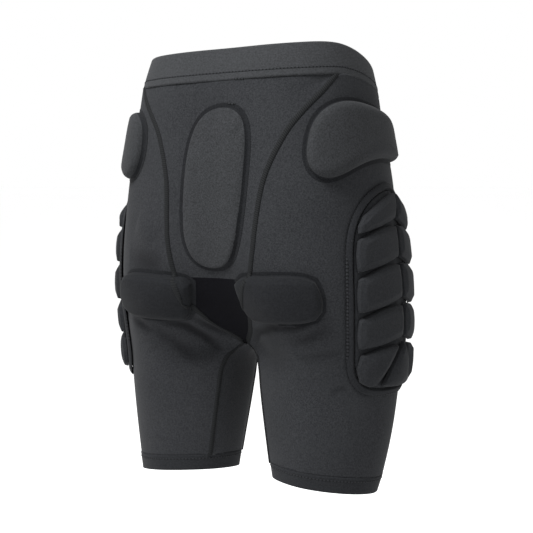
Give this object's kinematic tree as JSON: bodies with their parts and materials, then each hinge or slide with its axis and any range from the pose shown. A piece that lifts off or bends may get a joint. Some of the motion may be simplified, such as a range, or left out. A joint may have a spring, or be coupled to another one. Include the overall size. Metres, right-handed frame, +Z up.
{
  "type": "padded protective shorts",
  "caption": "Close-fitting stretch shorts with sewn-on foam pads at the tailbone, hips, seat and outer thighs, kept in their worn form.",
  "frame": {"origin": "middle of the waistband's top opening, where the wearer's waist holds the garment", "axes": "+Z up out of the waist opening, the garment's front facing -Y, the wearer's left side on +X"},
  "size_m": [0.3844, 0.2488, 0.5253],
  "materials": {
    "knit": "matt stretch knit",
    "band": "matt ribbed elastic",
    "gusset": "matt stretch mesh",
    "pad": "matt knit over foam",
    "foam": "matt moulded foam under knit"
  },
  "bodies": {
    "root": {"waistband": "band", "centre_back_panel": "knit", "front_panel": "knit", "tailbone_pad": "pad", "side_panel_left": "knit", "inner_leg_panel_left": "gusset", "leg_hem_left": "knit", "hip_pad_left": "pad", "sit_pad_left": "pad", "thigh_pad_binding_left": "pad", "thigh_pad_backing_left": "foam", "thigh_block_left_1_rear": "foam", "thigh_block_left_2_rear": "foam", "thigh_block_left_3_rear": "foam", "thigh_block_left_4_rear": "foam", "thigh_block_left_5_rear": "foam", "thigh_block_left_1_front": "foam", "thigh_block_left_2_front": "foam", "thigh_block_left_3_front": "foam", "thigh_block_left_4_front": "foam", "thigh_block_left_5_front": "foam", "thigh_block_left_fan": "foam", "side_panel_right": "knit", "inner_leg_panel_right": "gusset", "leg_hem_right": "knit", "hip_pad_right": "pad", "sit_pad_right": "pad", "thigh_pad_binding_right": "pad", "thigh_pad_backing_right": "foam", "thigh_block_right_1_rear": "foam", "thigh_block_right_2_rear": "foam", "thigh_block_right_3_rear": "foam", "thigh_block_right_4_rear": "foam", "thigh_block_right_5_rear": "foam", "thigh_block_right_1_front": "foam", "thigh_block_right_2_front": "foam", "thigh_block_right_3_front": "foam", "thigh_block_right_4_front": "foam", "thigh_block_right_5_front": "foam", "thigh_block_right_fan": "foam"}
  },
  "joints": []
}
